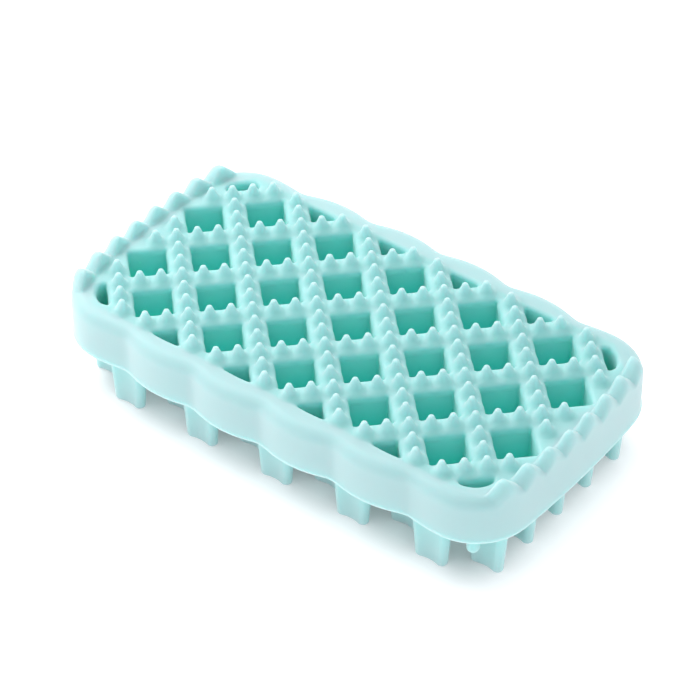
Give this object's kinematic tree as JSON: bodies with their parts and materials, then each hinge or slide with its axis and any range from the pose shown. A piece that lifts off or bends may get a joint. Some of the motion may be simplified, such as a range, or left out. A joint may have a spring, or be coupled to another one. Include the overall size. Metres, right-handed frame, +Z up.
{
  "type": "silicone scrubbing brush",
  "caption": "Palm-sized moulded silicone brush: a scalloped rim round a diagonal lattice of spiked ribs, ridged ends, and flexible bristles underneath.",
  "frame": {"origin": "on the resting plane of the bristle tips, under the middle of the brush", "axes": "+X along the brush's length, +Y across it, +Z up from the bristle tips to the spikes"},
  "size_m": [0.1406, 0.08, 0.0323],
  "materials": {
    "body_silicone": "satin",
    "bristle_silicone": "satin"
  },
  "bodies": {
    "moulding": {"rim_band": "body_silicone", "pocket_web": "body_silicone", "rib_long_1": "body_silicone", "rib_long_2": "body_silicone", "rib_long_3": "body_silicone", "rib_long_4": "body_silicone", "rib_long_5": "body_silicone", "rib_long_6": "body_silicone", "rib_long_7": "body_silicone", "rib_long_8": "body_silicone", "rib_short_1": "body_silicone", "rib_short_2": "body_silicone", "rib_short_3": "body_silicone", "rib_short_4": "body_silicone", "rib_short_5": "body_silicone", "rib_short_6": "body_silicone", "rib_short_7": "body_silicone", "rib_short_8": "body_silicone", "end_comb_left": "body_silicone", "end_comb_right": "body_silicone", "corner_pegs": "bristle_silicone"},
    "bristle_row_1_body": {"bristle_row_1": "bristle_silicone"},
    "bristle_row_2_body": {"bristle_row_2": "bristle_silicone"},
    "bristle_row_3_body": {"bristle_row_3": "bristle_silicone"},
    "bristle_row_4_body": {"bristle_row_4": "bristle_silicone"},
    "bristle_row_5_body": {"bristle_row_5": "bristle_silicone"},
    "bristle_row_6_body": {"bristle_row_6": "bristle_silicone"},
    "bristle_row_7_body": {"bristle_row_7": "bristle_silicone"},
    "bristle_row_8_body": {"bristle_row_8": "bristle_silicone"},
    "bristle_row_9_body": {"bristle_row_9": "bristle_silicone"},
    "bristle_row_10_body": {"bristle_row_10": "bristle_silicone"},
    "bristle_row_11_body": {"bristle_row_11": "bristle_silicone"}
  },
  "joints": [
    {"name": "bristle_row_1_lean", "type": "hinge", "parent": "moulding", "child": "bristle_row_1_body", "pos_m": [0, -0.03163, 0.0155], "axis": [1, 0, 0], "range_deg": [-12, 12], "stiffness_Nm_per_rad": 0.06},
    {"name": "bristle_row_2_lean", "type": "hinge", "parent": "moulding", "child": "bristle_row_2_body", "pos_m": [0, -0.0253, 0.0155], "axis": [1, 0, 0], "range_deg": [-12, 12], "stiffness_Nm_per_rad": 0.06},
    {"name": "bristle_row_3_lean", "type": "hinge", "parent": "moulding", "child": "bristle_row_3_body", "pos_m": [0, -0.01898, 0.0155], "axis": [1, 0, 0], "range_deg": [-12, 12], "stiffness_Nm_per_rad": 0.06},
    {"name": "bristle_row_4_lean", "type": "hinge", "parent": "moulding", "child": "bristle_row_4_body", "pos_m": [0, -0.01265, 0.0155], "axis": [1, 0, 0], "range_deg": [-12, 12], "stiffness_Nm_per_rad": 0.06},
    {"name": "bristle_row_5_lean", "type": "hinge", "parent": "moulding", "child": "bristle_row_5_body", "pos_m": [0, -0.00633, 0.0155], "axis": [1, 0, 0], "range_deg": [-12, 12], "stiffness_Nm_per_rad": 0.06},
    {"name": "bristle_row_6_lean", "type": "hinge", "parent": "moulding", "child": "bristle_row_6_body", "pos_m": [0, 0, 0.0155], "axis": [1, 0, 0], "range_deg": [-12, 12], "stiffness_Nm_per_rad": 0.06},
    {"name": "bristle_row_7_lean", "type": "hinge", "parent": "moulding", "child": "bristle_row_7_body", "pos_m": [0, 0.00633, 0.0155], "axis": [1, 0, 0], "range_deg": [-12, 12], "stiffness_Nm_per_rad": 0.06},
    {"name": "bristle_row_8_lean", "type": "hinge", "parent": "moulding", "child": "bristle_row_8_body", "pos_m": [0, 0.01265, 0.0155], "axis": [1, 0, 0], "range_deg": [-12, 12], "stiffness_Nm_per_rad": 0.06},
    {"name": "bristle_row_9_lean", "type": "hinge", "parent": "moulding", "child": "bristle_row_9_body", "pos_m": [0, 0.01898, 0.0155], "axis": [1, 0, 0], "range_deg": [-12, 12], "stiffness_Nm_per_rad": 0.06},
    {"name": "bristle_row_10_lean", "type": "hinge", "parent": "moulding", "child": "bristle_row_10_body", "pos_m": [0, 0.0253, 0.0155], "axis": [1, 0, 0], "range_deg": [-12, 12], "stiffness_Nm_per_rad": 0.06},
    {"name": "bristle_row_11_lean", "type": "hinge", "parent": "moulding", "child": "bristle_row_11_body", "pos_m": [0, 0.03163, 0.0155], "axis": [1, 0, 0], "range_deg": [-12, 12], "stiffness_Nm_per_rad": 0.06}
  ]
}
